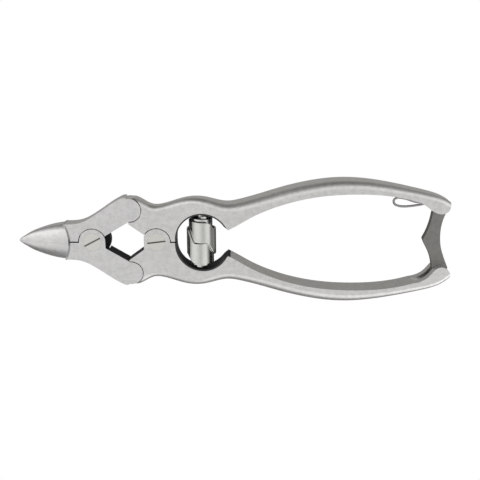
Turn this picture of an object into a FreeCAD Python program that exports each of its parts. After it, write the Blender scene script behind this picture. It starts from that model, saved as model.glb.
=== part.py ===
import FreeCAD, Part
import math
import os

import Sketcher

# A double-action nail nipper in stainless steel, jaws shut and handles locked.
#
# The model is drawn about the rear pivot: +X along the handles, the jaws' points towards -X,
# +Y towards the upper handle, and Z through the thickness, with Z = 0 at mid-thickness.
# Every finished piece is then moved by one common placement, so that the nipper lies flat
# on Z = 0 with the middle of its length over the origin.
#
# Four pivots make a kite: the front pivot joins the jaws, the rear pivot joins the handles,
# and a knuckle on each side joins a jaw's arm to a handle's ear, which is a little shorter.
# At each pivot one piece laps over the other at mid-thickness.

doc = FreeCAD.newDocument("NailNipper")

# ---------------------------------------------------------------- driving dimensions, mm
SIZES = {
    # overall
    "plate_thickness": 6.0,
    "grip_thickness": 8.6,
    "middle_x": 28.56,
    "middle_z": 5.375,
    # linkage, measured from the rear pivot
    "front_pivot_x": -23.4,
    "knuckle_x": -9.6,
    "knuckle_y": 11.95,
    # gaps between the moving pieces
    "lap_gap": 0.06,
    "slit_gap": 0.5,
    "edge_gap": 0.03,
    "hub_gap": 0.3,
    "running_gap": 0.03,
    "link_gap": 0.06,
    # how far a cut runs past the edge it crosses
    "cut_margin": 1.0,
    # half-lapped hubs and knuckles
    "front_hub_radius": 4.85,
    "front_hub_back_radius": 6.3,
    "rear_hub_radius": 5.0,
    "front_hub_flat": 4.75,
    "rear_hub_flat": 4.6,
    "knuckle_radius": 4.25,
    # pivot screws
    "screw_head_radius": 3.3,
    "screw_head_thickness": 1.4,
    "screw_shank_radius": 2.2,
    "screw_thread_radius": 2.0,
    "screw_slot_width": 0.6,
    "screw_slot_depth": 0.7,
    "front_slot_angle": 28.0,
    "rear_slot_angle": 7.0,
    # knuckle pins
    "link_pin_radius": 1.6,
    # cutting head
    "head_height_ratio": 0.58,
    "head_crown_power": 2.8,
    "head_crown_angle": 142.0,
    "head_flank_width_ratio": 0.72,
    "head_flank_height_ratio": 0.1,
    "head_land_ratio": 0.12,
    "shoulder_radius": 14.0,
    "shoulder_x": -31.8,
    "head_overlap": 0.4,
    # handles' thickness grows between these two stations
    "taper_start_x": 3.0,
    "taper_end_x": 33.0,
    "taper_bend_share": 0.45,
    # spring pocket
    "pocket_x": 16.75,
    "pocket_y": 0.95,
    "pocket_radius": 9.45,
    "throat_x": 22.0,
    "throat_y": 8.4,
    "nose_x": 26.2,
    "nose_y": 4.9,
    # barrel spring and its studs
    "spring_x": 16.3,
    "spring_radius": 5.1,
    "spring_end_radius": 2.7,
    "spring_half_length": 9.7,
    "spring_half_turns": 2.5,
    "spring_strip": 0.55,
    "spring_middle_half_height": 4.8,
    "spring_cover_half_height": 7.7,
    "spring_run_half_gap": 0.1,
    "spring_run_slope": 0.3,
    "spring_step_start": 0.3,
    "spring_step_end": 0.43,
    "spring_tuck": 0.75,
    "spring_tuck_start": 0.34,
    "spring_tuck_end": 0.66,
    "spring_start_angle": 270.0,
    "stud_radius": 1.7,
    "stud_length": 2.2,
    "stud_shank_radius": 1.0,
    "stud_shank_length": 2.5,
    "stud_seat_y": 10.05,
    # locking catch at the handles' ends
    "slot_thickness": 3.0,
    "slot_start_x": 94.6,
    "slot_top_y": 5.0,
    "slot_floor_y": 15.45,
    "striker_floor_y": 15.5,
    "lobe_base_y": 8.0,
    "beyond_end_x": 116.0,
    "catch_thickness": 2.8,
    "catch_neck": 1.6,
    "catch_pin_x": 102.9,
    "catch_pin_y": 13.3,
    "catch_pin_radius": 1.0,
    "catch_hub_radius": 1.9,
    "catch_notch_gap": 0.06,
    "striker_x": 104.6,
    "striker_y": -12.9,
    "striker_radius": 1.0,
    # edge rounding of the handles' outer sides: at the ear, where the grip starts, at its end
    "round_ear": 1.8,
    "round_grip": 3.0,
    "round_end": 1.6,
    # wire spring of the catch
    "wire_radius": 0.42,
    "wire_hole_radius": 0.6,
    "wire_x": 97.6,
    "wire_hole_y": 17.0,
}

# Outlines, as distances from the rear pivot. Y is given for the upper side and mirrored for
# the lower side, except for the catch, which has no mirror image.
OUTLINES = {
    # outer edge of a jaw, from the knuckle to the shoulder behind the cutting head
    "jaw_outside": [(-10.4, 16.2), (-11.4, 16.55), (-13.0, 16.0), (-16.1, 14.2), (-19.1, 12.1),
                    (-22.2, 10.0), (-25.3, 8.15), (-28.3, 7.05), (-30.0, 6.8), (-33.7, 6.75)],
    # hidden end of a jaw's plate inside the cutting head
    "jaw_end": [(-32.9, 4.0)],
    # inner edge of a jaw's arm
    "arm_inside": [(-18.65, 2.35), (-9.6, 7.75)],
    # inner edge of a handle's ear
    "ear_inside": [(-4.6, 2.85), (-10.2, 6.95), (-9.9, 7.5)],
    # outer edge of a handle, from the ear over the pocket and along the grip
    "grip_outside": [(-8.9, 16.3), (-7.7, 16.5), (-4.8, 15.4), (-0.7, 13.6), (2.4, 13.9),
                     (5.4, 14.75), (9.5, 16.0), (14.0, 16.6), (18.0, 16.2), (26.0, 14.4),
                     (30.5, 15.05), (37.2, 16.85), (45.3, 19.3), (55.6, 21.75), (65.9, 23.0),
                     (76.0, 22.65), (86.5, 21.0), (96.7, 18.75), (101.8, 17.3), (104.8, 15.9),
                     (107.5, 13.8), (110.0, 10.8)],
    # inner edge of a grip, from the nose to the start of the lobe at its end
    "grip_inside": [(30.5, 7.3), (35.1, 9.95), (40.3, 12.35), (50.6, 15.7), (61.0, 17.57),
                    (71.3, 18.17), (81.6, 17.8), (90.5, 16.4), (94.0, 15.45)],
    # rounded lobes at the grips' ends, from the inner edge round to beyond the outer edge
    "upper_lobe": [(96.4, 14.4), (98.2, 13.1), (99.6, 12.0), (101.4, 11.2), (103.6, 11.0),
                   (105.2, 11.9), (105.9, 13.4), (105.8, 17.5)],
    "lower_lobe": [(97.0, 14.7), (99.6, 13.1), (101.3, 11.1), (102.7, 9.7), (104.4, 9.2),
                   (106.2, 9.9), (107.5, 11.3), (107.75, 13.2), (107.0, 17.0)],
    # inner edge of the catch, from its hub down to the free end
    "catch_inside": [(100.3, 10.5), (99.8, 7.4), (98.8, 3.9), (97.4, 0.7), (98.5, -1.8),
                     (99.5, -3.6), (100.5, -5.8), (101.3, -8.6), (101.7, -12.4)],
    # outer edge of the catch, from the notch up to its hub
    "catch_outside": [(107.3, -10.4), (105.6, -6.4), (104.1, -1.9), (103.6, 3.0), (103.9, 6.6),
                      (105.1, 10.6)],
    # hook under the striker: tip of the lip
    "catch_hook": [(103.4, -15.2), (106.0, -15.2), (106.2, -13.96)],
    # wire spring, from its anchor in the grip, round its loop and back to the catch's hub
    "wire": [(97.6, 16.9), (97.6, 16.2), (97.55, 15.5), (96.9, 14.8), (95.4, 14.4), (93.0, 14.8),
             (91.0, 15.5), (89.0, 15.95), (87.2, 15.95), (86.2, 15.1), (86.4, 13.9), (87.7, 13.1),
             (89.6, 12.8), (92.5, 12.95), (96.0, 13.5), (100.5, 14.65)],
}

# Half-width of the cutting head at stations along X, from near its point to its base.
HEAD_STATIONS = [(-50.65, 0.22), (-50.0, 0.80), (-48.6, 1.75), (-46.4, 3.05), (-43.6, 4.30),
                 (-40.5, 5.38), (-37.2, 6.25), (-33.9, 6.80), (-30.5, 7.05)]

# points of the spring's rims per turn, and of a head section's crown
SPRING_STEPS = 50
CROWN_STEPS = 10

# sewing tolerance of the spring's faces, mm
SEAM = 1e-5


def fill_sheet():
    """Write every driving dimension to the spreadsheet, one aliased cell each."""
    sheet = doc.addObject("Spreadsheet::Sheet", "Sizes")
    cells = list(SIZES.items())
    for name, points in OUTLINES.items():
        for number, (x, y) in enumerate(points, 1):
            cells += [(f"{name}_{number}_x", x), (f"{name}_{number}_y", y)]
    for number, (x, width) in enumerate(HEAD_STATIONS, 1):
        cells += [(f"head_{number}_x", x), (f"head_{number}_width", width)]
    for row, (alias, value) in enumerate(cells, 1):
        sheet.set(f"A{row}", alias.replace("_", " "))
        sheet.set(f"B{row}", str(value))
        sheet.setAlias(f"B{row}", alias)
    doc.recompute()
    return sheet


sheet = fill_sheet()


def size(expression):
    """Value of an expression over the sheet's aliases, in mm."""
    return float(sheet.evalExpression(expression))


def spot(name, side=1):
    """Expressions for the point called NAME, mirrored across Y = 0 for side -1."""
    return f"Sizes.{name}_x", f"{side} * Sizes.{name}_y"


def spots(name, side=1):
    """Expressions for all points of the outline called NAME."""
    return [spot(f"{name}_{number}", side) for number in range(1, len(OUTLINES[name]) + 1)]


# ---------------------------------------------------------------- sketching and features
def new_body(name):
    body = doc.addObject("PartDesign::Body", name)
    body.Label = name
    return body


def new_sketch(body, name, plane="XY_Plane", height="0"):
    """Empty sketch on one of the body's origin planes, raised by HEIGHT along its normal."""
    sketch = body.newObject("Sketcher::SketchObject", f"{body.Name}_{name}")
    support = next(item for item in body.Origin.OriginFeatures if item.Role == plane)
    sketch.AttachmentSupport = [(support, "")]
    sketch.MapMode = "FlatFace"
    sketch.setExpression("AttachmentOffset.Base.z", height)
    return sketch


def bind(sketch, kind, geometry, position, expression):
    """Hold one coordinate of a point at an expression."""
    value = float(sketch.evalExpression(expression))
    index = sketch.addConstraint(Sketcher.Constraint(kind, -1, 1, geometry, position, value))
    sketch.setExpression(f"Constraints[{index}]", expression)


def point_of(sketch, pair):
    x, y = (float(sketch.evalExpression(text)) for text in pair)
    return FreeCAD.Vector(x, y, 0)


def draw_outline(sketch, start, *runs):
    """Closed outline of runs. A run is a list of points as pairs of expressions: one point
    ends a straight edge, and several are the points of a smooth curve."""
    first = last = None
    here = start
    for run in runs:
        ends = [point_of(sketch, pair) for pair in [here] + run]
        if len(run) == 1:
            piece = Part.LineSegment(ends[0], ends[1])
        else:
            piece = Part.BSplineCurve()
            piece.interpolate(Points=ends)
        index = sketch.addGeometry(piece)
        if last is None:
            first = index
            bind(sketch, "DistanceX", index, 1, here[0])
            bind(sketch, "DistanceY", index, 1, here[1])
        else:
            sketch.addConstraint(Sketcher.Constraint("Coincident", last, 2, index, 1))
        here = run[-1]
        if run is runs[-1]:
            sketch.addConstraint(Sketcher.Constraint("Coincident", index, 2, first, 1))
        else:
            bind(sketch, "DistanceX", index, 2, here[0])
            bind(sketch, "DistanceY", index, 2, here[1])
        last = index


def draw_circle(sketch, centre, radius):
    """Circle whose centre and radius are held at expressions."""
    value = float(sketch.evalExpression(radius))
    circle = Part.Circle(point_of(sketch, centre), FreeCAD.Vector(0, 0, 1), value)
    index = sketch.addGeometry(circle)
    bind(sketch, "DistanceX", index, 3, centre[0])
    bind(sketch, "DistanceY", index, 3, centre[1])
    number = sketch.addConstraint(Sketcher.Constraint("Radius", index, value))
    sketch.setExpression(f"Constraints[{number}]", radius)


def draw_rectangle(sketch, low, high):
    """Rectangle between two corners, each a pair of expressions."""
    draw_outline(sketch, low, [(high[0], low[1])], [high], [(low[0], high[1])], [low])


def draw_disc_with_flat(sketch, centre_x, radius, flat, direction):
    """Disc on Y = 0 with a flat at FLAT from its centre, on the +X or -X side."""
    x = float(sketch.evalExpression(centre_x))
    r = float(sketch.evalExpression(radius))
    f = float(sketch.evalExpression(flat))
    half = math.acos(f / r)
    turn = 0.0 if direction > 0 else math.pi
    centre = FreeCAD.Vector(x, 0, 0)
    circle = Part.Circle(centre, FreeCAD.Vector(0, 0, 1), r)
    arc = sketch.addGeometry(Part.ArcOfCircle(circle, turn + half, turn + 2 * math.pi - half))
    geometry = sketch.Geometry[arc]
    chord = sketch.addGeometry(Part.LineSegment(geometry.EndPoint, geometry.StartPoint))
    sketch.addConstraint(Sketcher.Constraint("Coincident", arc, 2, chord, 1))
    sketch.addConstraint(Sketcher.Constraint("Coincident", chord, 2, arc, 1))
    sketch.addConstraint(Sketcher.Constraint("Vertical", chord))
    bind(sketch, "DistanceX", arc, 3, centre_x)
    bind(sketch, "DistanceY", arc, 3, "0")
    bind(sketch, "DistanceX", chord, 1, f"{centre_x} + {direction} * {flat}")
    number = sketch.addConstraint(Sketcher.Constraint("Radius", arc, r))
    sketch.setExpression(f"Constraints[{number}]", radius)


def extrude(body, kind, sketch, length, symmetric=False, upward=True):
    """Pad or Pocket of a sketch by an expression, upwards or downwards from its plane."""
    feature = body.newObject(f"PartDesign::{kind}", sketch.Name.replace(body.Name, kind))
    feature.Profile = sketch
    feature.Type = "Length"
    feature.setExpression("Length", length)
    if symmetric:
        feature.SideType = "Symmetric"
    elif kind == "Pad":
        feature.Reversed = not upward
    else:
        feature.Reversed = upward
    before = body.Shape.Volume if not body.Shape.isNull() else 0.0
    doc.recompute()
    change = feature.Shape.Volume - before
    if (change > 0) != (kind == "Pad"):
        raise RuntimeError(f"{feature.Name} changed the volume by {change:.3f}")
    return feature


HALF_PLATE = "Sizes.plate_thickness / 2"
HALF_GAP = "Sizes.lap_gap / 2"
DEEP = "Sizes.grip_thickness * 2"
REAR_PIVOT = ("0", "0")
FRONT_PIVOT = ("Sizes.front_pivot_x", "0")


def add_lap(body, name, draw, front):
    """Pad a hub or knuckle from mid-thickness out to the front or back face."""
    height = HALF_GAP if front else f"-{HALF_GAP}"
    sketch = new_sketch(body, name, height=height)
    draw(sketch)
    extrude(body, "Pad", sketch, f"{HALF_PLATE} - {HALF_GAP}", upward=front)


def clear_lap(body, name, centre, radius, front):
    """Cut away the front or back half round a pivot, to make room for the other piece."""
    height = f"-{HALF_GAP}" if front else HALF_GAP
    sketch = new_sketch(body, name, height=height)
    draw_circle(sketch, centre, radius)
    extrude(body, "Pocket", sketch, DEEP, upward=front)


def drill(body, name, centre, radius):
    """Round hole through the whole thickness."""
    sketch = new_sketch(body, name)
    draw_circle(sketch, centre, radius)
    extrude(body, "Pocket", sketch, DEEP, symmetric=True)


def sink_screw_head(body, name, centre):
    """Round recess for a flush screw head in the front face."""
    sketch = new_sketch(body, name, height=f"{HALF_PLATE} - Sizes.screw_head_thickness - {HALF_GAP}")
    draw_circle(sketch, centre, "Sizes.screw_head_radius + Sizes.running_gap")
    extrude(body, "Pocket", sketch, DEEP, upward=True)


# ---------------------------------------------------------------- jaws
def head_section(x, width):
    """Closed section of a half cutting head: crowned outside, hollow-ground inside."""
    power = 2 / size("Sizes.head_crown_power")
    height = width * size("Sizes.head_height_ratio")
    edge = size("Sizes.edge_gap / 2")
    crown = []
    for step in range(CROWN_STEPS + 1):
        angle = math.radians(size("Sizes.head_crown_angle") * step / CROWN_STEPS)
        y = width * abs(math.sin(angle)) ** power
        z = height * math.copysign(abs(math.cos(angle)) ** power, math.cos(angle))
        crown.append(FreeCAD.Vector(x, edge + y, z))
    rim = crown[-1]
    land = FreeCAD.Vector(x, edge, height * (1 - size("Sizes.head_land_ratio")))
    flank = FreeCAD.Vector(x, edge + (rim.y - edge) * size("Sizes.head_flank_width_ratio"),
                           height * size("Sizes.head_flank_height_ratio"))
    outside = Part.BSplineCurve()
    outside.interpolate(Points=crown)
    hollow = Part.BSplineCurve()
    hollow.interpolate(Points=[rim, flank, land])
    return Part.Wire([outside.toShape(), hollow.toShape(), Part.makeLine(land, crown[0])])


def make_head(name, side):
    """Half of the pointed cutting head, ending in a shoulder that bulges towards +X."""
    count = len(HEAD_STATIONS)
    sections = [head_section(size(f"Sizes.head_{n}_x"), size(f"Sizes.head_{n}_width"))
                for n in range(1, count + 1)]
    loft = doc.addObject("Part::Feature", f"{name}_loft")
    solid = Part.makeLoft(sections, True, False)
    loft.Shape = solid if side > 0 else solid.mirror(FreeCAD.Vector(0, 0, 0), FreeCAD.Vector(0, 1, 0))
    shoulder = doc.addObject("Part::Cylinder", f"{name}_shoulder")
    shoulder.setExpression("Radius", "Sizes.shoulder_radius")
    shoulder.setExpression("Height", DEEP)
    shoulder.setExpression("Placement.Base.x", "Sizes.shoulder_x - Sizes.shoulder_radius")
    shoulder.setExpression("Placement.Base.z", "-Sizes.grip_thickness")
    head = doc.addObject("Part::Common", name)
    head.Base = loft
    head.Tool = shoulder
    return head


def make_jaw(name, side, lap_in_front):
    """Jaw: cutting head, flat plate with a half-lapped hub, and an arm with a knuckle."""
    body = new_body(f"{name}_plate")
    knuckle = spot("knuckle", side)
    slit_y = f"{side} * Sizes.slit_gap / 2"
    start = ("Sizes.shoulder_x - Sizes.head_overlap", slit_y)
    arm = spots("arm_inside", side)
    outside = spots("jaw_outside", side)

    sketch = new_sketch(body, "outline")
    draw_outline(sketch, start,
                 [(arm[0][0], slit_y)],
                 [arm[0]],
                 [arm[1]],
                 [knuckle],
                 [outside[0]],
                 outside[1:],
                 spots("jaw_end", side) + [start])
    extrude(body, "Pad", sketch, "Sizes.plate_thickness", symmetric=True)

    if lap_in_front:
        add_lap(body, "hub", lambda s: draw_disc_with_flat(
            s, FRONT_PIVOT[0], "Sizes.front_hub_radius", "Sizes.front_hub_flat", 1), True)
        clear_lap(body, "hub_room", FRONT_PIVOT, "Sizes.front_hub_back_radius + Sizes.hub_gap",
                  False)
    else:
        add_lap(body, "hub", lambda s: draw_circle(
            s, FRONT_PIVOT, "Sizes.front_hub_back_radius"), False)
        clear_lap(body, "hub_room", FRONT_PIVOT, "Sizes.front_hub_radius + Sizes.hub_gap", True)
    add_lap(body, "knuckle", lambda s: draw_circle(s, knuckle, "Sizes.knuckle_radius"), True)
    clear_lap(body, "knuckle_room", knuckle, "Sizes.knuckle_radius + Sizes.hub_gap", False)
    drill(body, "pin_hole", knuckle, "Sizes.link_pin_radius")
    if lap_in_front:
        drill(body, "screw_hole", FRONT_PIVOT, "Sizes.screw_shank_radius + Sizes.running_gap")
        sink_screw_head(body, "screw_seat", FRONT_PIVOT)
    else:
        drill(body, "screw_hole", FRONT_PIVOT, "Sizes.screw_thread_radius")

    jaw = doc.addObject("Part::Fuse", name)
    jaw.Base = body
    jaw.Tool = make_head(f"{name}_head", side)
    jaw.Label = name
    return jaw


# ---------------------------------------------------------------- handles
def taper_outline(sketch, sign):
    """Region outside the handle's tapering thickness, above (+1) or below (-1) it."""
    plate = f"{sign} * {HALF_PLATE}"
    grip = f"{sign} * Sizes.grip_thickness / 2"
    far = f"{sign} * Sizes.grip_thickness"
    start, end = "Sizes.taper_start_x", "Sizes.taper_end_x"
    bend = f"{start} + ({end} - {start}) * Sizes.taper_bend_share"
    poles = [(start, plate), (bend, plate), (bend, grip), (end, grip)]
    curve = Part.BSplineCurve()
    curve.buildFromPolesMultsKnots([point_of(sketch, p) for p in poles], [4, 4], [0.0, 1.0], False, 3)
    left = "Sizes.front_pivot_x"
    corners = [(end, grip), (end, far), (left, far), (left, plate), (start, plate)]
    ramp = sketch.addGeometry(curve)
    bind(sketch, "DistanceX", ramp, 1, start)
    bind(sketch, "DistanceY", ramp, 1, plate)
    last = ramp
    for begin, finish in zip(corners, corners[1:]):
        edge = Part.LineSegment(point_of(sketch, begin), point_of(sketch, finish))
        index = sketch.addGeometry(edge)
        sketch.addConstraint(Sketcher.Constraint("Coincident", last, 2, index, 1))
        bind(sketch, "DistanceX", index, 1, begin[0])
        bind(sketch, "DistanceY", index, 1, begin[1])
        last = index
    sketch.addConstraint(Sketcher.Constraint("Coincident", last, 2, ramp, 1))


def round_radius(x):
    """Rounding of a handle's outer edges where they pass the ends of the taper and the grip."""
    if x < size("Sizes.taper_start_x + Sizes.cut_margin"):
        return size("Sizes.round_ear")
    if x < size("Sizes.taper_end_x + Sizes.cut_margin"):
        return size("Sizes.round_grip")
    return size("Sizes.round_end")


def outer_edges(shape, side):
    """Long outer edges of a handle, with the rounding at each edge's first and last point."""
    half_plate = size(HALF_PLATE)
    ear_reach = size("Sizes.grip_outside_1_y - Sizes.cut_margin / 2")
    grip_reach = size("(Sizes.grip_outside_15_y + Sizes.grip_inside_6_y) / 2")
    found = []
    for number, edge in enumerate(shape.Edges, 1):
        first = edge.valueAt(edge.FirstParameter)
        last = edge.valueAt(edge.LastParameter)
        on_face = edge.BoundBox.ZLength < half_plate and abs(first.z) > half_plate - size(HALF_GAP)
        on_grip = min(first.x, last.x) > size("Sizes.taper_end_x - Sizes.cut_margin")
        reach = max(side * edge.BoundBox.YMin, side * edge.BoundBox.YMax)
        outside = reach > (grip_reach if on_grip else ear_reach)
        if on_face and outside and abs(last.x - first.x) > size("Sizes.knuckle_radius * 2"):
            found.append((number, round_radius(first.x), round_radius(last.x)))
    return found


def make_handle(name, side, lap_in_front, pin, floor_y, lobe_name):
    """Handle: ear with a knuckle, half-lapped hub, spring pocket, grip and forked end."""
    blank = new_body(f"{name}_blank")
    slit_y = f"{side} * Sizes.slit_gap / 2"
    ear = spots("ear_inside", side)
    knuckle = spot("knuckle", side)
    outside = spots("grip_outside", side)
    inside = spots("grip_inside", side)
    base_y = f"{side} * Sizes.lobe_base_y"
    sketch = new_sketch(blank, "outline")
    draw_outline(sketch, (ear[0][0], slit_y),
                 [("Sizes.nose_x", slit_y)],
                 [spot("nose", side)],
                 inside,
                 [(inside[-1][0], base_y)],
                 [(outside[-1][0], base_y)],
                 [outside[-1]],
                 outside[-2::-1],
                 [knuckle],
                 [ear[2]],
                 [ear[1]],
                 [ear[0]],
                 [(ear[0][0], slit_y)])
    extrude(blank, "Pad", sketch, "Sizes.grip_thickness", symmetric=True)
    for word, sign in (("front_taper", 1), ("back_taper", -1)):
        sketch = new_sketch(blank, word, plane="XZ_Plane")
        taper_outline(sketch, sign)
        extrude(blank, "Pocket", sketch, "3 * Sizes.grip_outside_1_y", symmetric=True)

    rounded = doc.addObject("Part::Fillet", f"{name}_rounded")
    rounded.Base = blank
    rounded.Edges = outer_edges(blank.Shape, side)
    doc.recompute()

    body = new_body(name)
    body.BaseFeature = rounded
    doc.recompute()
    add_lap(body, "hub", lambda s: draw_disc_with_flat(
        s, "0", "Sizes.rear_hub_radius", "Sizes.rear_hub_flat", -1), lap_in_front)
    clear_lap(body, "hub_room", REAR_PIVOT, "Sizes.rear_hub_radius + Sizes.hub_gap",
              not lap_in_front)
    add_lap(body, "knuckle", lambda s: draw_circle(s, knuckle, "Sizes.knuckle_radius"), False)
    clear_lap(body, "knuckle_room", knuckle, "Sizes.knuckle_radius + Sizes.hub_gap", True)
    drill(body, "link_hole", knuckle, "Sizes.link_pin_radius + Sizes.link_gap")
    if lap_in_front:
        drill(body, "screw_hole", REAR_PIVOT, "Sizes.screw_shank_radius + Sizes.running_gap")
        sink_screw_head(body, "screw_seat", REAR_PIVOT)
    else:
        drill(body, "screw_hole", REAR_PIVOT, "Sizes.screw_thread_radius")

    drill(body, "pocket", spot("pocket", side), "Sizes.pocket_radius")
    sketch = new_sketch(body, "throat")
    draw_outline(sketch, ("Sizes.pocket_x", "0"), [spot("throat", side)], [spot("nose", side)],
                 [("Sizes.nose_x + Sizes.cut_margin", "0")], [("Sizes.pocket_x", "0")])
    extrude(body, "Pocket", sketch, DEEP, symmetric=True)
    sketch = new_sketch(body, "stud_hole", plane="XZ_Plane")
    draw_circle(sketch, ("Sizes.spring_x", "0"), "Sizes.stud_shank_radius")
    extrude(body, "Pocket", sketch, "2 * (Sizes.stud_seat_y + Sizes.stud_shank_length)",
            symmetric=True)

    sketch = new_sketch(body, "lobe_trim")
    lobe = spots(lobe_name, side)
    far_x = "Sizes.beyond_end_x"
    below = f"{side} * (Sizes.lobe_base_y - Sizes.cut_margin)"
    draw_outline(sketch, inside[-1],
                 lobe,
                 [(far_x, lobe[-1][1])],
                 [(far_x, below)],
                 [(f"{inside[-1][0]} - Sizes.cut_margin / 2", below)],
                 [inside[-1]])
    extrude(body, "Pocket", sketch, DEEP, symmetric=True)
    sketch = new_sketch(body, "end_slot")
    draw_rectangle(sketch, ("Sizes.slot_start_x", f"{side} * Sizes.slot_top_y"),
                   (far_x, f"{side} * {floor_y}"))
    extrude(body, "Pocket", sketch, "Sizes.slot_thickness", symmetric=True)
    drill(body, "pin_hole", pin[0], pin[1])
    if side > 0:
        sketch = new_sketch(body, "wire_hole", plane="XZ_Plane")
        draw_circle(sketch, ("Sizes.wire_x", "0"), "Sizes.wire_hole_radius")
        extrude(body, "Pocket", sketch, "2 * Sizes.wire_hole_y", symmetric=True)
    return body


# ---------------------------------------------------------------- screws, pins and studs
def make_pivot_screw(name, centre, angle):
    """Flush screw: slotted round head, plain shank in one lap, threaded end in the other."""
    body = new_body(name)
    top = f"({HALF_PLATE})"
    sketch = new_sketch(body, "head", height=top)
    draw_circle(sketch, centre, "Sizes.screw_head_radius")
    extrude(body, "Pad", sketch, "Sizes.screw_head_thickness", upward=False)
    sketch = new_sketch(body, "shank", height=top)
    draw_circle(sketch, centre, "Sizes.screw_shank_radius")
    extrude(body, "Pad", sketch, f"{HALF_PLATE} - {HALF_GAP}", upward=False)
    sketch = new_sketch(body, "thread", height=top)
    draw_circle(sketch, centre, "Sizes.screw_thread_radius")
    extrude(body, "Pad", sketch, "Sizes.plate_thickness", upward=False)
    sketch = new_sketch(body, "slot", height=top)
    turn = math.radians(size(angle))
    along = FreeCAD.Vector(math.cos(turn), math.sin(turn), 0)
    across = FreeCAD.Vector(-along.y, along.x, 0) * (size("Sizes.screw_slot_width") / 2)
    reach = along * size("Sizes.screw_head_radius + Sizes.cut_margin")
    middle = FreeCAD.Vector(size(centre[0]), 0, 0)
    corners = [middle - reach - across, middle + reach - across,
               middle + reach + across, middle - reach + across]
    for begin, finish in zip(corners, corners[1:] + corners[:1]):
        sketch.addGeometry(Part.LineSegment(begin, finish))
    for number in range(4):
        sketch.addConstraint(Sketcher.Constraint("Coincident", number, 2, (number + 1) % 4, 1))
    extrude(body, "Pocket", sketch, "Sizes.screw_slot_depth", upward=False)
    return body


def make_round_pin(name, centre, radius, length):
    """Plain pin across the thickness, its ends flush with both faces."""
    body = new_body(name)
    sketch = new_sketch(body, "circle")
    draw_circle(sketch, centre, radius)
    extrude(body, "Pad", sketch, length, symmetric=True)
    return body


def make_stud(name, side):
    """Spring stud: a thin shank set in the pocket's wall, and a round head inside the spring."""
    body = new_body(name)
    middle = "Sizes.spring_x"
    seat = f"{side} * Sizes.stud_seat_y"
    sketch = new_sketch(body, "profile")
    top = f"{side} * (Sizes.stud_seat_y + Sizes.stud_shank_length)"
    inner = f"{side} * (Sizes.stud_seat_y - Sizes.stud_length)"
    shank = f"{middle} + Sizes.stud_shank_radius"
    head = f"{middle} + Sizes.stud_radius"
    draw_outline(sketch, (middle, top), [(shank, top)], [(shank, seat)], [(head, seat)],
                 [(head, inner)], [(middle, inner)], [(middle, top)])
    feature = body.newObject("PartDesign::Revolution", f"{name}_turn")
    feature.Profile = sketch
    feature.ReferenceAxis = (sketch, ["Edge6"])
    feature.Angle = 360
    doc.recompute()
    return body


# ---------------------------------------------------------------- barrel spring
def smooth_step(value, start, end):
    """0 up to START and 1 from END, with a smooth rise between them."""
    share = min(max((value - start) / (end - start), 0.0), 1.0)
    return share * share * (3 - 2 * share)


def spring_radius(turn):
    """Mean radius of the strip, counted in turns from the middle: widest there, then closing."""
    away = abs(turn)
    tuck_end = size("Sizes.spring_tuck_end")
    tuck = size("Sizes.spring_tuck") * smooth_step(away, size("Sizes.spring_tuck_start"), tuck_end)
    late = max(away - tuck_end, 0.0) / (size("Sizes.spring_half_turns") - tuck_end)
    closing = size("Sizes.spring_radius - Sizes.spring_end_radius - Sizes.spring_tuck")
    return size("Sizes.spring_radius") - tuck - closing * late


def spring_edge(turn):
    """Height of the strip's +Y edge. Its -Y edge is the same curve turned end for end.

    The middle run is short. Past it the strip widens towards one end, and its other edge
    steps back almost to the spring's middle to make room for the opposite run."""
    middle = size("Sizes.spring_middle_half_height")
    step_end = size("Sizes.spring_step_end")
    step = smooth_step(abs(turn), size("Sizes.spring_step_start"), step_end)
    past = max(abs(turn) - step_end, 0.0)
    if turn < 0:
        return (middle - (middle + size("Sizes.spring_run_half_gap")) * step
                - size("Sizes.spring_run_slope") * past)
    cover = size("Sizes.spring_cover_half_height")
    climb = size("Sizes.spring_half_length") - cover
    return (middle + (cover - middle) * step
            + climb * past / (size("Sizes.spring_half_turns") - step_end))


def make_spring(name):
    """Double-volute barrel spring of flat strip, its axis along Y."""
    turns = size("Sizes.spring_half_turns")
    steps = int(turns * SPRING_STEPS)
    values = [turns * number / steps for number in range(-steps, steps + 1)]
    middle = size("Sizes.spring_x")
    half = size("Sizes.spring_strip") / 2
    start = size("Sizes.spring_start_angle")

    def rim(offset, edge):
        points = []
        for value in values:
            radius = spring_radius(value) + offset
            angle = math.radians(360 * value + start)
            points.append(FreeCAD.Vector(middle + radius * math.cos(angle), edge(value),
                                         radius * math.sin(angle)))
        curve = Part.BSplineCurve()
        curve.interpolate(Points=points, Parameters=[float(v) for v in values])
        return curve.toShape()

    def upper(value):
        return spring_edge(value)

    def lower(value):
        return -spring_edge(-value)

    rims = [rim(half, lower), rim(half, upper), rim(-half, upper), rim(-half, lower)]
    faces = [Part.makeRuledSurface(a, b) for a, b in zip(rims, rims[1:] + rims[:1])]
    for end in (0, -1):
        corners = [edge.Vertexes[end].Point for edge in rims]
        faces.append(Part.Face(Part.makePolygon(corners + corners[:1])))
    shell = Part.makeShell(faces)
    shell.sewShape()
    solid = Part.Solid(shell)
    solid.fix(SEAM, SEAM, SEAM)
    spring = doc.addObject("Part::Feature", name)
    spring.Shape = solid
    spring.Label = name
    return spring


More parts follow.
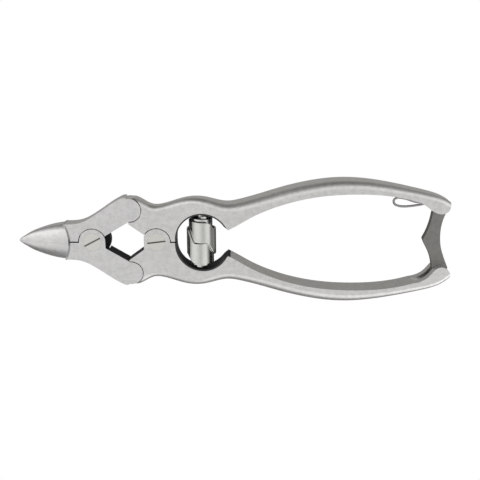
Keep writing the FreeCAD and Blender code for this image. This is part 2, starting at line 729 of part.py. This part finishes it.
# ---------------------------------------------------------------- locking catch
def make_catch_bar(name):
    """Flat catch: round hub, waisted bar with a thumb nub, and a hook that holds the striker."""
    body = new_body(name)
    inside = spots("catch_inside")
    outside = spots("catch_outside")
    hook = spots("catch_hook")
    pin_x, pin_y = spot("catch_pin")
    clear = "(Sizes.striker_radius + Sizes.catch_notch_gap)"
    notch_top = f"Sizes.striker_y + {clear}"
    notch_floor = f"Sizes.striker_x - {clear}"
    low = f"Sizes.striker_y - {clear}"
    sketch = new_sketch(body, "outline")
    draw_outline(sketch, (f"{pin_x} - Sizes.catch_neck", pin_y),
                 [inside[0]],
                 inside[1:4],
                 inside[4:],
                 [hook[0]],
                 [hook[1]],
                 [hook[2]],
                 [(notch_floor, low)],
                 [(notch_floor, notch_top)],
                 [outside[0]],
                 outside[1:],
                 [(f"{pin_x} + Sizes.catch_neck", pin_y)],
                 [(f"{pin_x} - Sizes.catch_neck", pin_y)])
    extrude(body, "Pad", sketch, "Sizes.catch_thickness", symmetric=True)
    sketch = new_sketch(body, "hub")
    draw_circle(sketch, (pin_x, pin_y), "Sizes.catch_hub_radius")
    extrude(body, "Pad", sketch, "Sizes.catch_thickness", symmetric=True)
    drill(body, "hole", (pin_x, pin_y), "Sizes.catch_pin_radius + Sizes.running_gap")
    return body


def make_catch_spring(name):
    """Hairpin of round wire: an upturned end in the grip, a loop, and a leg on the catch's hub."""
    points = [FreeCAD.Vector(size(x), size(y), 0) for x, y in spots("wire")]
    curve = Part.BSplineCurve()
    curve.interpolate(Points=points)
    path = Part.Wire([curve.toShape()])
    direction = curve.tangent(curve.FirstParameter)[0]
    profile = Part.Wire([Part.makeCircle(size("Sizes.wire_radius"), points[0], direction)])
    spring = doc.addObject("Part::Feature", name)
    spring.Shape = path.makePipeShell([profile], True, False)
    spring.Label = name
    return spring


def check_objects():
    """Stop if any object of the document failed to build."""
    for item in doc.Objects:
        if "Invalid" in item.State or "Error" in item.State:
            raise RuntimeError(f"{item.Name} is {item.State}")


def main():
    catch_pin = spot("catch_pin")
    striker = spot("striker")
    upper_knuckle, lower_knuckle = spot("knuckle", 1), spot("knuckle", -1)
    pieces = [
        make_jaw("upper_jaw", 1, lap_in_front=False),
        make_jaw("lower_jaw", -1, lap_in_front=True),
        make_handle("upper_handle", 1, False, (catch_pin, "Sizes.catch_pin_radius"),
                    "Sizes.slot_floor_y", "upper_lobe"),
        make_handle("lower_handle", -1, True, (striker, "Sizes.striker_radius"),
                    "Sizes.striker_floor_y", "lower_lobe"),
        make_pivot_screw("front_pivot_screw", FRONT_PIVOT, "Sizes.front_slot_angle"),
        make_pivot_screw("rear_pivot_screw", REAR_PIVOT, "Sizes.rear_slot_angle"),
        make_round_pin("upper_link_pin", upper_knuckle, "Sizes.link_pin_radius",
                       "Sizes.plate_thickness"),
        make_round_pin("lower_link_pin", lower_knuckle, "Sizes.link_pin_radius",
                       "Sizes.plate_thickness"),
        make_stud("upper_spring_stud", 1),
        make_stud("lower_spring_stud", -1),
        make_spring("barrel_spring"),
        make_catch_bar("catch_bar"),
        make_round_pin("catch_pin", catch_pin, "Sizes.catch_pin_radius", "Sizes.grip_thickness"),
        make_round_pin("striker_pin", striker, "Sizes.striker_radius", "Sizes.grip_thickness"),
        make_catch_spring("catch_spring"),
    ]
    doc.recompute()
    for piece in pieces:
        piece.setExpression("Placement.Base.x", "-Sizes.middle_x")
        piece.setExpression("Placement.Base.z", "Sizes.middle_z")
    doc.recompute()
    check_objects()
    os.makedirs("parts", exist_ok=True)
    for piece in pieces:
        shape = piece.Shape
        if shape.isNull() or not shape.isValid() or len(shape.Solids) != 1:
            raise RuntimeError(f"{piece.Label} has no single valid solid")
        shape.exportStep(f"parts/{piece.Label}.step")
        box = shape.optimalBoundingBox(False)
        print(f"{piece.Label:20s} {shape.Volume:9.2f} mm3  "
              f"X {box.XMin:8.3f} {box.XMax:8.3f}  Y {box.YMin:8.3f} {box.YMax:8.3f}  "
              f"Z {box.ZMin:7.3f} {box.ZMax:7.3f}")


main()
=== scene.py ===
import math

import bpy
from mathutils import Matrix, Vector


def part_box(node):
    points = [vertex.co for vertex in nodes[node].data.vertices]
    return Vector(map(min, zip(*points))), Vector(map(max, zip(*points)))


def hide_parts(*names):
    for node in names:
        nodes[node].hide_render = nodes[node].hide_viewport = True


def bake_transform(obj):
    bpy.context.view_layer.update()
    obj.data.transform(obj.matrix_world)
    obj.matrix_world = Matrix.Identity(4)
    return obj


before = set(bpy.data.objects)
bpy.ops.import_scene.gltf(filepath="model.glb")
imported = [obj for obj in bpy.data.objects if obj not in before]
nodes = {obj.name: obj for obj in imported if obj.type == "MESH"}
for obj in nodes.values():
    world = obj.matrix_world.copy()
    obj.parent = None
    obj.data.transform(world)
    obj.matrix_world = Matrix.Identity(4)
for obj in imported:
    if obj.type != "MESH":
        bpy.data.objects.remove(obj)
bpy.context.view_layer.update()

# A double-action nail nipper in stainless steel, lying on a white table.
#
# Lengths are metres. Places on the nipper are given in millimetres from the rear pivot, and
# MM turns them into metres.

scene = bpy.context.scene
MM = 0.001

# the rear pivot on the plates' middle plane, and the height of the plates' front face
screw_low, screw_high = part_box("rear_pivot_screw")
REAR_PIVOT = (screw_low + screw_high) / 2
FRONT = screw_high.z


def at_pivot(x, y=0.0):
    """Point given in millimetres from the rear pivot, in the frame's XY plane."""
    return (REAR_PIVOT.x + x * MM, REAR_PIVOT.y + y * MM)


# ---------------------------------------------------------------- shader helpers
# most of a noise pattern's values lie between these two
NOISE_RANGE = (0.3, 0.7)
# octaves and roughness of the streaks and the clouding, and octaves of the grain and rings
ROUGH_NOISE = (5.0, 0.7)
PLAIN_DETAIL = 2.0
# a surface that faces up or down by less than the first share is a wall, and one that does
# by more than the second is level
WALL_FACING = (0.25, 0.6)
RING_SOFT = 0.1 * MM
GROOVE_DEPTH = 0.02 * MM


class Shader:
    """The node tree of a material or a world, with short calls for the nodes used here."""

    def __init__(self, owner):
        owner.use_nodes = True
        self.owner = owner
        self.tree = owner.node_tree

    def node(self, kind, **values):
        item = self.tree.nodes.new("ShaderNode" + kind)
        for key, value in values.items():
            setattr(item, key, value)
        return item

    def link(self, source, target):
        self.tree.links.new(source, target)

    def feed(self, socket, value):
        """Connect another node's output to the socket, or set the socket's constant."""
        if isinstance(value, bpy.types.NodeSocket):
            self.link(value, socket)
        else:
            socket.default_value = value

    def math(self, operation, first, second=0.0, clamp=False):
        item = self.node("Math", operation=operation, use_clamp=clamp)
        self.feed(item.inputs[0], first)
        self.feed(item.inputs[1], second)
        return item.outputs[0]

    def ramp(self, value, low, high, to_low=0.0, to_high=1.0):
        """VALUE moved from the range LOW..HIGH to TO_LOW..TO_HIGH, and held at the ends."""
        item = self.node("MapRange")
        item.interpolation_type = "SMOOTHSTEP"
        self.feed(item.inputs["Value"], value)
        self.feed(item.inputs["From Min"], low)
        self.feed(item.inputs["From Max"], high)
        self.feed(item.inputs["To Min"], to_low)
        self.feed(item.inputs["To Max"], to_high)
        return item.outputs["Result"]

    def mix(self, factor, first, second, blend="MIX"):
        """Colour made of two others, each of them a socket or three numbers."""
        item = self.node("Mix", data_type="RGBA", blend_type=blend)
        self.feed(item.inputs["Factor"], factor)
        for socket, value in ((item.inputs[6], first), (item.inputs[7], second)):
            self.feed(socket, (*value, 1.0) if isinstance(value, tuple) else value)
        return item.outputs[2]

    def part(self, vector, axis):
        """One coordinate of a vector."""
        item = self.node("SeparateXYZ")
        self.link(vector, item.inputs[0])
        return item.outputs[axis]

    def place(self):
        """Coordinates fixed to the piece, in metres."""
        return self.node("TexCoord").outputs["Object"]

    def facing(self, axis):
        """How far the surface faces along an axis, to either side: 0 to 1."""
        normal = self.node("NewGeometry").outputs["True Normal"]
        return self.math("ABSOLUTE", self.part(normal, axis))

    def seen_by_camera(self):
        """1 for what the camera sees directly, 0 for what it sees reflected."""
        return self.node("LightPath").outputs["Is Camera Ray"]

    def stretched(self, vector, scale, offset=(0.0, 0.0, 0.0)):
        item = self.node("Mapping")
        self.link(vector, item.inputs["Vector"])
        item.inputs["Location"].default_value = offset
        item.inputs["Scale"].default_value = scale
        return item.outputs["Vector"]

    def noise(self, vector, scale, detail=3.0, roughness=0.55):
        item = self.node("TexNoise")
        self.link(vector, item.inputs["Vector"])
        item.inputs["Scale"].default_value = scale
        item.inputs["Detail"].default_value = detail
        item.inputs["Roughness"].default_value = roughness
        return item.outputs["Fac"]

    def distance(self, centre):
        """Distance from the upright axis through a point of the XY plane."""
        flat = self.stretched(self.place(), (1.0, 1.0, 0.0), (-centre[0], -centre[1], 0.0))
        length = self.node("VectorMath", operation="LENGTH")
        self.link(flat, length.inputs[0])
        return length.outputs["Value"]

    def disc(self, centre, radius, soft):
        """1 within RADIUS of an upright axis, falling to 0 over SOFT."""
        return self.ramp(self.distance(centre), radius, radius + soft, 1.0, 0.0)

    def ring(self, centre, radius, width):
        """1 on a narrow ring round an upright axis."""
        outer = self.disc(centre, radius + width / 2, RING_SOFT)
        inner = self.disc(centre, radius - width / 2, RING_SOFT)
        return self.math("SUBTRACT", outer, inner, True)

    def height(self, low, high, to_low=0.0, to_high=1.0):
        """Value that changes between two heights of the piece."""
        return self.ramp(self.part(self.place(), "Z"), low, high, to_low, to_high)

    def wall(self):
        """1 on upright walls and 0 on level faces."""
        return self.ramp(self.facing("Z"), *WALL_FACING, 1.0, 0.0)


class Metal(Shader):
    """A material of its own with one Principled surface."""

    def __init__(self, name):
        super().__init__(bpy.data.materials.new(name))
        self.surface = self.tree.nodes["Principled BSDF"]

    def set(self, name, value):
        """Feed the surface's input of that name."""
        self.feed(self.surface.inputs[name], value)

    def roughen(self, pattern, roughness, spread):
        """Roughness that follows a noise pattern, by SPREAD to either side."""
        varied = self.ramp(pattern, *NOISE_RANGE, roughness - spread, roughness + spread)
        self.set("Roughness", varied)

    def bump(self, height, strength):
        item = self.node("Bump")
        item.inputs["Strength"].default_value = strength
        item.inputs["Distance"].default_value = GROOVE_DEPTH
        self.link(height, item.inputs["Height"])
        self.set("Normal", item.outputs["Normal"])


# ---------------------------------------------------------------- steels
# weight of the streaks in the clouding, and of the grain in the relief
STREAK_BLEND = 0.5
GRAIN_BLEND = 0.6
GRAIN_SCALE = 5200.0
CLOUD_SCALE = 650.0
CLOUD_RANGE = (0.6, 0.9)
STREAK_SPREAD = 0.06
# depths below the front face at which a cavity's painted shade is full and where it starts
DARK_DEPTHS = (0.8 * MM, 0.3 * MM)
SPOT_SOFT = 0.4 * MM
# metallic share left where the painted darkness is full, so that nothing is reflected there
DARKEST_METALLIC = 0.03
SPECULAR = 0.5

TURNING_SCALE = 5000.0
TURNING_SPREAD = 0.05
TURNING_RELIEF = 0.1
TURNING_SHADE = 0.9
SLOT_SHADE = 0.25
# depths below a screw's head at which the painted shade in its slot is full and where it starts
SLOT_DEPTHS = (0.5 * MM, 0.15 * MM)

# shares of facing along X between which painted shade darkens the coil's sides, and by how much
COIL_SIDE = (0.8, 0.97)
COIL_SIDE_SHARE = 0.9
# distances from the spring's middle between which painted shade darkens the edges at its ends
COIL_END = (6.0 * MM, 7.2 * MM)


def scaled(colour, share):
    """Colour with its three numbers multiplied by SHARE."""
    return tuple(number * share for number in colour)


def painted_darkness(s, wall, shaded_cavities, rims, extra_painted_shade):
    """Mask of the steel's painted darkness: painted shade in its cavities and from the further
    mask, and the dark rims; or None where it has none.
    """
    deep = s.height(FRONT - DARK_DEPTHS[0], FRONT - DARK_DEPTHS[1], 1.0, 0.0)
    below = s.math("MAXIMUM", wall, deep)
    masks = [extra_painted_shade(s)] if extra_painted_shade else []
    # painted shade, nearly black, below the front face in each shaded cavity
    masks += [s.math("MULTIPLY", s.disc(centre, radius, SPOT_SOFT), below)
              for centre, radius in shaded_cavities]
    masks += [s.math("MULTIPLY", s.ring(centre, radius, width), share)
              for centre, radius, width, share in rims]
    dark = None
    for mask in masks:
        dark = mask if dark is None else s.math("MAXIMUM", dark, mask)
    return dark


def steel(name, colour, roughness, streaks=(300.0, 9000.0, 9000.0), bump=0.05, tint=0.07,
          shaded_cavities=(), rims=(), painted_wall_brightness=1.0, extra_painted_shade=None):
    """Steel with fine grinding streaks and faint clouding. Inside the shaded cavities everything
    below the front face gets painted shade, nearly black and without reflections, and each rim
    is darkened the same way, by its share. The wall factor scales the colour of upright walls:
    painted light above 1, painted shade below. The last argument is a function that makes a
    further mask of painted shade for the shader it is given."""
    s = Metal(name)
    place = s.place()
    fine = s.noise(s.stretched(place, streaks), 1.0, *ROUGH_NOISE)
    grain = s.noise(place, GRAIN_SCALE, PLAIN_DETAIL)
    cloud = s.noise(place, CLOUD_SCALE, *ROUGH_NOISE)
    s.roughen(fine, roughness, STREAK_SPREAD)
    clouding = s.math("ADD", cloud, s.math("MULTIPLY", fine, STREAK_BLEND))
    base = s.mix(s.ramp(clouding, *CLOUD_RANGE), scaled(colour, 1 - tint), scaled(colour, 1 + tint))

    wall = s.wall()
    dark = painted_darkness(s, wall, shaded_cavities, rims, extra_painted_shade)
    undarkened = 1.0 if dark is None else s.ramp(dark, 0.0, 1.0, 1.0, DARKEST_METALLIC)
    # the walls' colour is scaled: painted light where the wall factor is above 1, painted shade
    # where it is below
    wall_brightness = s.ramp(wall, 0.0, 1.0, 1.0, painted_wall_brightness)
    scale = s.node("VectorMath", operation="SCALE")
    s.link(base, scale.inputs[0])
    s.feed(scale.inputs["Scale"], s.math("MULTIPLY", wall_brightness, undarkened))
    s.set("Base Color", scale.outputs[0])
    s.set("Metallic", undarkened)
    s.set("Specular IOR Level", s.math("MULTIPLY", undarkened, SPECULAR))
    s.bump(s.math("ADD", fine, s.math("MULTIPLY", grain, GRAIN_BLEND)), bump)
    return s.owner


def coil_shadow(s):
    """Painted shade on the barrel spring: on its sides, and on the strip's edges at its ends."""
    side = s.ramp(s.facing("X"), *COIL_SIDE)
    along = s.math("ABSOLUTE", s.part(s.place(), "Y"))
    end = s.math("MULTIPLY", s.ramp(along, *COIL_END), s.wall())
    return s.math("MAXIMUM", s.math("MULTIPLY", side, COIL_SIDE_SHARE), end)


def turned_steel(name, colour, roughness, centre, top):
    """Steel turned on a lathe: rings round CENTRE, and painted shade in the slot below the TOP
    face.
    """
    s = Metal(name)
    rings = s.node("TexNoise", noise_dimensions="1D")
    s.link(s.distance(centre), rings.inputs["W"])
    rings.inputs["Scale"].default_value = TURNING_SCALE
    rings.inputs["Detail"].default_value = PLAIN_DETAIL
    pattern = rings.outputs["Fac"]
    turned = s.mix(pattern, scaled(colour, TURNING_SHADE), colour)
    head = s.height(top - SLOT_DEPTHS[0], top - SLOT_DEPTHS[1])
    s.set("Base Color", s.mix(head, scaled(colour, SLOT_SHADE), turned))
    s.set("Metallic", 1.0)
    s.roughen(pattern, roughness, TURNING_SPREAD)
    s.bump(pattern, TURNING_RELIEF)
    return s.owner


# ---------------------------------------------------------------- finishes of the pieces
# cavities that get painted shade inside, nearly black, each a centre and a radius
HEX = (at_pivot(-11.5), 8.6 * MM)
POCKET = (at_pivot(17.2), 11.0 * MM)
FRONT_SLIT = (at_pivot(-30.0), 2.0 * MM)
REAR_SLIT = (at_pivot(6.0), 1.6 * MM)
# dark lines painted on the front face: round the pockets, and a painted shadow along the head's
# shoulder; each a centre, a radius, a width and a share of the darkness
POCKET_RIMS = tuple((at_pivot(16.75, y), 9.65 * MM, 0.55 * MM, 0.85) for y in (0.95, -0.95))
# painted shadow of the step at the head's shoulder
SHOULDER_SHADOW = ((at_pivot(-45.8), 14.1 * MM, 0.5 * MM, 0.45),)


def handle_steel(name, painted_wall_brightness):
    return steel(name, (0.66, 0.655, 0.645), 0.34, shaded_cavities=(POCKET, HEX, REAR_SLIT),
                 rims=POCKET_RIMS, painted_wall_brightness=painted_wall_brightness)


def screw_steel(screw):
    low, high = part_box(screw)
    return turned_steel(screw + "_turned", (0.74, 0.73, 0.69), 0.3, (low + high) / 2, high.z)


# The wall factors paint light on the jaws' and handles' walls, more on the upper handle's than on
# the lower's.
jaw_steel = steel("jaw_satin_steel", (0.66, 0.655, 0.65), 0.33,
                  shaded_cavities=(HEX, FRONT_SLIT), rims=SHOULDER_SHADOW, painted_wall_brightness=1.5)
upper_handle_steel = handle_steel("upper_handle_satin_steel", 1.5)
lower_handle_steel = handle_steel("lower_handle_satin_steel", 1.2)
# the catch bar is a much darker, rougher steel than the rest
catch_steel = steel("catch_dark_matte_steel", (0.215, 0.21, 0.2), 0.46, (2500.0, 600.0, 2500.0),
                    bump=0.12, tint=0.08)
# the spring's sides, and its strip's edges at the ends, get painted shade
spring_steel = steel("spring_polished_steel", (0.66, 0.66, 0.635), 0.2, (9000.0, 500.0, 9000.0),
                     bump=0.02, tint=0.03, extra_painted_shade=coil_shadow)
# the wire's walls get painted shade
wire_steel = steel("wire_drawn_steel", (0.3, 0.295, 0.29), 0.3, bump=0.03, painted_wall_brightness=0.6)
pin_steel = steel("pin_ground_steel", (0.64, 0.64, 0.63), 0.3)

FINISHES = {
    "upper_jaw": jaw_steel,
    "lower_jaw": jaw_steel,
    "upper_link_pin": jaw_steel,
    "lower_link_pin": jaw_steel,
    "upper_handle": upper_handle_steel,
    "lower_handle": lower_handle_steel,
    "catch_pin": upper_handle_steel,
    "striker_pin": lower_handle_steel,
    "catch_bar": catch_steel,
    "catch_spring": wire_steel,
    "front_pivot_screw": screw_steel("front_pivot_screw"),
    "rear_pivot_screw": screw_steel("rear_pivot_screw"),
    "upper_spring_stud": pin_steel,
    "lower_spring_stud": pin_steel,
    "barrel_spring": pin_steel,
}
# pieces that keep their edges: the CAD's spring, which the strip replaces, and the flush pins
SHARP = ("barrel_spring", "upper_link_pin", "lower_link_pin", "catch_pin", "striker_pin")
EDGE = 0.16 * MM
STUD_EDGE = 0.05 * MM
EDGE_ANGLE = 40
ROLLED_EDGE = 0.12 * MM
ROLLED_EDGE_ANGLE = 50


def round_edges(piece, modifier, width, angle):
    """Round the edges of the piece that turn by more than ANGLE degrees."""
    bevel = piece.modifiers.new(modifier, "BEVEL")
    bevel.width = width
    bevel.segments = 2
    bevel.limit_method = "ANGLE"
    bevel.angle_limit = math.radians(angle)
    bevel.harden_normals = True


for name, node in nodes.items():
    node.data.materials.clear()
    node.data.materials.append(FINISHES[name])
    if name not in SHARP:
        width = STUD_EDGE if name.endswith("_stud") else EDGE
        round_edges(node, "broken_edges", width, EDGE_ANGLE)


# ---------------------------------------------------------------- barrel spring
# A flat strip wound as a double volute along Y. Sizes are in millimetres, and turns count
# from the middle of the strip.
HALF_TURNS = 2.5
STRIP_THICKNESS = 0.55
SPRING_X = 16.3
START_ANGLE = 270.0
# mean radius in the middle and at the ends, and the quick step inwards beside the middle
WIDE_RADIUS = 5.1
END_RADIUS = 2.7
TUCK = 0.75
TUCK_TURNS = (0.34, 0.66)
# height of the strip's +Y edge in the middle, after its step and at its far end
MIDDLE_HALF = 4.8
COVER_HALF = 7.7
HALF_LENGTH = 9.7
STEP_TURNS = (0.3, 0.43)
# half the gap between the two long runs, and how much that half grows with each turn
RUN_HALF_GAP = 0.1
RUN_SLOPE = 0.3
STEPS_PER_TURN = 72
PANELS_ACROSS = 6


def smooth_step(value, start, end):
    """0 up to START and 1 from END, with a smooth rise between them."""
    share = min(max((value - start) / (end - start), 0.0), 1.0)
    return share * share * (3 - 2 * share)


def spring_radius(turn):
    """Mean radius of the strip: widest in the middle, then closing towards both ends."""
    away = abs(turn)
    late = max(away - TUCK_TURNS[1], 0.0) / (HALF_TURNS - TUCK_TURNS[1])
    closing = WIDE_RADIUS - END_RADIUS - TUCK
    return WIDE_RADIUS - TUCK * smooth_step(away, *TUCK_TURNS) - closing * late


def spring_edge(turn):
    """Height of the strip's +Y edge. Its -Y edge is the same curve turned end for end."""
    step = smooth_step(abs(turn), *STEP_TURNS)
    past = max(abs(turn) - STEP_TURNS[1], 0.0)
    if turn < 0:
        return MIDDLE_HALF - (MIDDLE_HALF + RUN_HALF_GAP) * step - RUN_SLOPE * past
    climb = (HALF_LENGTH - COVER_HALF) * past / (HALF_TURNS - STEP_TURNS[1])
    return MIDDLE_HALF + (COVER_HALF - MIDDLE_HALF) * step + climb


def strip_section(turn):
    """Points round the strip's section: up its outer side, then down its inner side."""
    angle = math.radians(360 * turn + START_ANGLE)
    top = spring_edge(turn)
    bottom = -spring_edge(-turn)
    heights = [bottom + (top - bottom) * k / PANELS_ACROSS for k in range(PANELS_ACROSS + 1)]
    outer = [(STRIP_THICKNESS / 2, height) for height in heights]
    inner = [(-STRIP_THICKNESS / 2, height) for height in reversed(heights)]
    section = []
    for offset, height in outer + inner:
        radius = spring_radius(turn) + offset
        section.append(Vector((REAR_PIVOT.x + (SPRING_X + radius * math.cos(angle)) * MM,
                               height * MM,
                               REAR_PIVOT.z + radius * math.sin(angle) * MM)))
    return section


def strip_faces(rows, count):
    """Quads between the sections, COUNT points each, and the caps at the strip's two ends."""
    faces = []
    for row in range(rows - 1):
        for k in range(count):
            here = row * count + k
            beside = row * count + (k + 1) % count
            faces.append((here, beside, beside + count, here + count))
    last = (rows - 1) * count
    for k in range(PANELS_ACROSS):
        cap = (k, k + 1, count - 2 - k, count - 1 - k)
        faces.append(cap[::-1])
        faces.append(tuple(last + corner for corner in cap))
    return faces


def strip_mesh():
    steps = int(HALF_TURNS * STEPS_PER_TURN)
    sections = [strip_section(HALF_TURNS * number / steps) for number in range(-steps, steps + 1)]
    points = [point for section in sections for point in section]
    mesh = bpy.data.meshes.new("barrel_spring_strip")
    mesh.from_pydata(points, [], strip_faces(len(sections), len(sections[0])))
    mesh.validate()
    for face in mesh.polygons:
        face.use_smooth = True
    mesh.materials.append(spring_steel)
    return mesh


def turn_faces_outwards(piece):
    bpy.context.view_layer.objects.active = piece
    piece.select_set(True)
    bpy.ops.object.mode_set(mode="EDIT")
    bpy.ops.mesh.select_all(action="SELECT")
    bpy.ops.mesh.normals_make_consistent(inside=False)
    bpy.ops.object.mode_set(mode="OBJECT")
    piece.select_set(False)


def make_barrel_spring():
    """The strip, with one end on each handle."""
    strip = bpy.data.objects.new("barrel_spring_strip", strip_mesh())
    scene.collection.objects.link(strip)
    turn_faces_outwards(strip)
    round_edges(strip, "rolled_edges", ROLLED_EDGE, ROLLED_EDGE_ANGLE)
    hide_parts("barrel_spring")
    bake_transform(strip)


make_barrel_spring()


# ---------------------------------------------------------------- floor, light, camera
WHITE = (1.0, 1.0, 1.0)
PAPER = (0.97, 0.97, 0.97)
PAPER_SCALE = 900.0
FLOOR_HALF = 2.0
FLOOR_DROP = 0.2 * MM
FLOOR_IN_STEEL = (0.3, 0.295, 0.285)
FLOOR_GLOW = 1.02
SKY_STRENGTH = 1.87
# brightness of the sky along X and along Y: a coordinate of the direction, then the level
SKY_ACROSS = [(-1.0, 0.3), (-0.9, 0.9), (-0.6, 1.0), (-0.3, 0.85), (-0.1, 0.72),
              (0.1, 0.62), (0.3, 0.7), (0.5, 0.9), (0.8, 1.0), (0.95, 0.2)]
SKY_ALONG = [(-1.0, 0.15), (-0.93, 0.6), (-0.85, 1.0), (-0.55, 1.0), (-0.42, 0.56),
             (-0.2, 0.52), (0.1, 0.74), (0.45, 0.78), (0.65, 0.38), (1.0, 0.1)]
# a dark card in the sky's -X -Y quarter, with its soft edges along X and along Y
CARD = (0.12, 0.12, 0.12)
CARD_EDGE_X = (-0.12, -0.27)
CARD_EDGE_Y = (-0.42, -0.55)


def make_floor():
    """Table that is white to the eye, and a calmer grey in the steel's reflections."""
    mesh = bpy.data.meshes.new("floor")
    corners = [(x * FLOOR_HALF, y * FLOOR_HALF, -FLOOR_DROP)
               for x, y in ((-1, -1), (1, -1), (1, 1), (-1, 1))]
    mesh.from_pydata(corners, [], [(0, 1, 2, 3)])
    floor = bpy.data.objects.new("floor", mesh)
    scene.collection.objects.link(floor)
    s = Shader(bpy.data.materials.new("floor_white"))
    paper = s.mix(s.noise(s.place(), PAPER_SCALE), PAPER, WHITE)
    seen = s.seen_by_camera()
    glow = s.node("Emission")
    s.link(s.mix(seen, FLOOR_IN_STEEL, paper), glow.inputs["Color"])
    s.link(s.ramp(seen, 0.0, 1.0, 1.0, FLOOR_GLOW), glow.inputs["Strength"])
    s.link(glow.outputs[0], s.tree.nodes["Material Output"].inputs["Surface"])
    mesh.materials.append(s.owner)


def sky_band(s, coordinate, stops):
    """Grey level that changes with one coordinate of the direction, from -1 to 1."""
    shift = s.node("MapRange")
    s.link(coordinate, shift.inputs["Value"])
    shift.inputs["From Min"].default_value = -1.0
    ramp = s.node("ValToRGB")
    s.link(shift.outputs["Result"], ramp.inputs["Fac"])
    elements = ramp.color_ramp.elements
    while len(elements) < len(stops):
        elements.new(0.5)
    for element, (place, level) in zip(elements, stops):
        element.position = (place + 1) / 2
        element.color = (level, level, level, 1)
    return ramp.outputs["Color"]


def make_world():
    """Soft studio surroundings for the steel: bands of light and shade along X and Y, dark at
    their ends, and a dark card. The eye sees plain white behind the table."""
    world = bpy.data.worlds.new("studio")
    scene.world = world
    s = Shader(world)
    direction = s.node("TexCoord").outputs["Generated"]
    x = s.part(direction, "X")
    y = s.part(direction, "Y")
    sky = s.mix(1.0, sky_band(s, x, SKY_ACROSS), sky_band(s, y, SKY_ALONG), "MULTIPLY")
    card = s.math("MULTIPLY", s.ramp(x, *CARD_EDGE_X), s.ramp(y, *CARD_EDGE_Y))
    studio = s.tree.nodes["Background"]
    s.link(s.mix(card, sky, CARD), studio.inputs["Color"])
    studio.inputs["Strength"].default_value = SKY_STRENGTH
    paper = s.node("Background")
    paper.inputs["Color"].default_value = (*WHITE, 1.0)
    choice = s.node("MixShader")
    s.link(s.seen_by_camera(), choice.inputs[0])
    s.link(studio.outputs[0], choice.inputs[1])
    s.link(paper.outputs[0], choice.inputs[2])
    s.link(choice.outputs[0], s.tree.nodes["World Output"].inputs["Surface"])


# the camera and the point it looks at, in millimetres from the rear pivot
EYE = (31.14, 80.26, 264.36)
AIM = (30.47, -0.01, 0.0)
SENSOR_WIDTH = 36.0
LENS = 56.28


def make_camera():
    """Above the nipper and a little beyond its upper handle, looking down."""
    data = bpy.data.cameras.new("camera")
    data.sensor_width = SENSOR_WIDTH
    data.lens = LENS
    camera = bpy.data.objects.new("camera", data)
    scene.collection.objects.link(camera)
    eye = REAR_PIVOT + Vector(EYE) * MM
    aim = REAR_PIVOT + Vector(AIM) * MM
    back = (eye - aim).normalized()
    right = Vector((0, 1, 0)).cross(back).normalized()
    camera.location = eye
    camera.rotation_mode = "QUATERNION"
    turn = Matrix((right, back.cross(right), back)).transposed()
    camera.rotation_quaternion = turn.to_quaternion()
    scene.camera = camera


make_floor()
make_world()
make_camera()
scene.view_settings.view_transform = "Standard"
